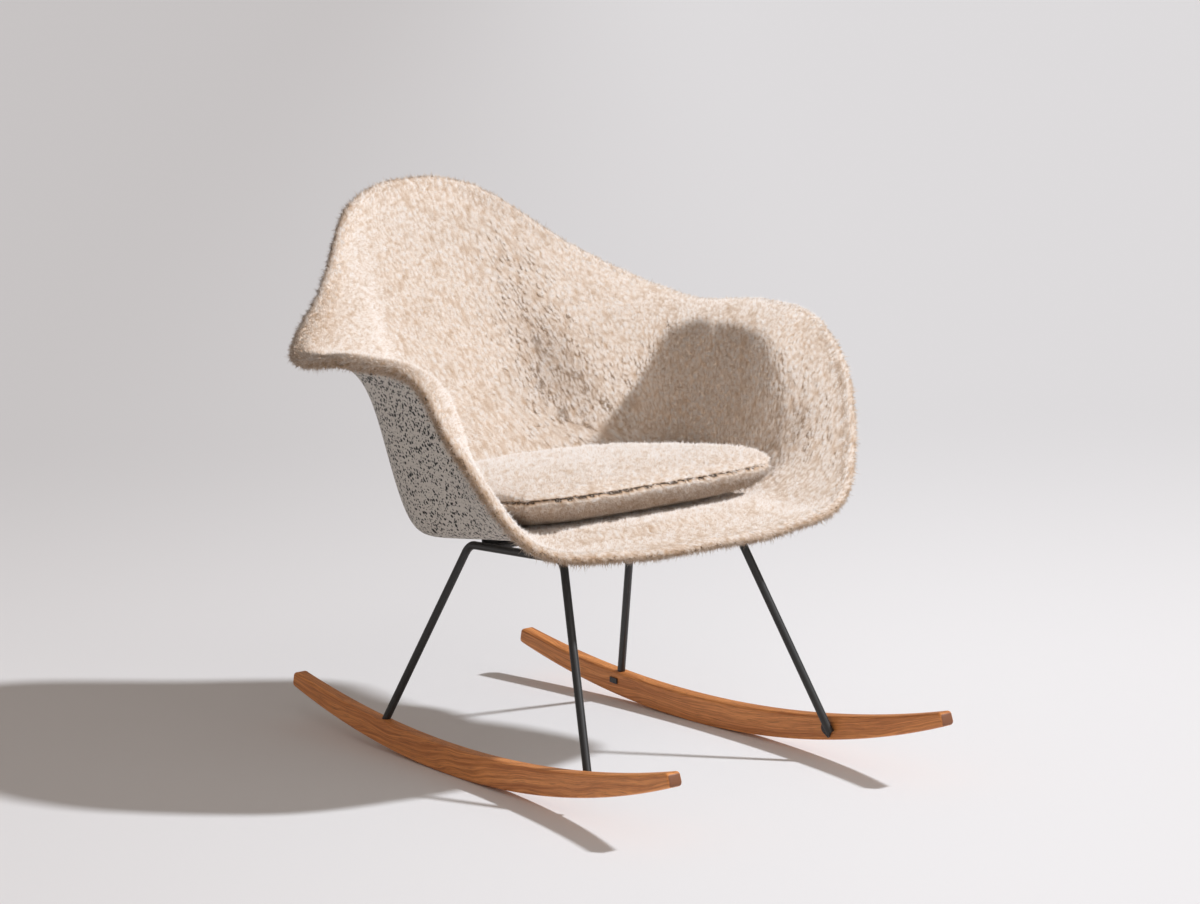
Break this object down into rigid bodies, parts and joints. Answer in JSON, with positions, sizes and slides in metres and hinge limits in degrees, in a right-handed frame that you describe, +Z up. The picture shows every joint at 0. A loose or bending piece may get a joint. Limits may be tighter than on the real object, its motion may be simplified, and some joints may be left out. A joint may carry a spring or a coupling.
{
  "type": "upholstered rocking chair",
  "caption": "Armchair with a moulded shell covered in curly cloth and a loose seat cushion, carried by bent steel side rods on wooden rockers that rock on the floor.",
  "frame": {"origin": "on the floor, in the chair's middle plane, midway between the front and rear ends of the rockers", "axes": "+Z up, the sitter faces -Y, +X is the sitter's left; the rockers lie along Y"},
  "size_m": [0.628, 0.8248, 0.6787],
  "materials": {
    "cloth": "curly cream cloth, fuzzy at its outline",
    "foam": "upholstery foam, hidden",
    "shell": "matt warm grey with black and dark grey specks",
    "rubber": "matt black rubber",
    "black_steel": "satin black powder coat",
    "zinc_steel": "zinc plated",
    "oak": "oiled oak, grain along the rocker"
  },
  "bodies": {
    "chair": {"shell": "shell", "shell_foam": "foam", "inner_cover": "cloth", "edge_roll": "cloth", "shock_mount_front_left": "rubber", "shock_mount_front_right": "rubber", "shock_mount_rear_left": "rubber", "shock_mount_rear_right": "rubber", "mount_nuts": "zinc_steel", "mount_screws": "black_steel", "mount_tab_front_left": "black_steel", "mount_tab_front_right": "black_steel", "mount_tab_rear_left": "black_steel", "mount_tab_rear_right": "black_steel", "side_rod_left": "black_steel", "side_rod_right": "black_steel", "cross_bar_front": "black_steel", "cross_bar_rear": "black_steel", "rocker_left": "oak", "rocker_right": "oak", "foot_ear_left": "black_steel", "foot_ear_right": "black_steel", "foot_screws": "zinc_steel", "leg_lock_left": "black_steel", "leg_lock_right": "black_steel"},
    "cushion": {"cushion_core": "foam", "cushion_top": "cloth", "cushion_bottom": "cloth"}
  },
  "joints": [
    {"name": "cushion_lift", "type": "slide", "parent": "chair", "child": "cushion", "axis": [0, 0, 1], "range_m": [0, 0.4]}
  ]
}
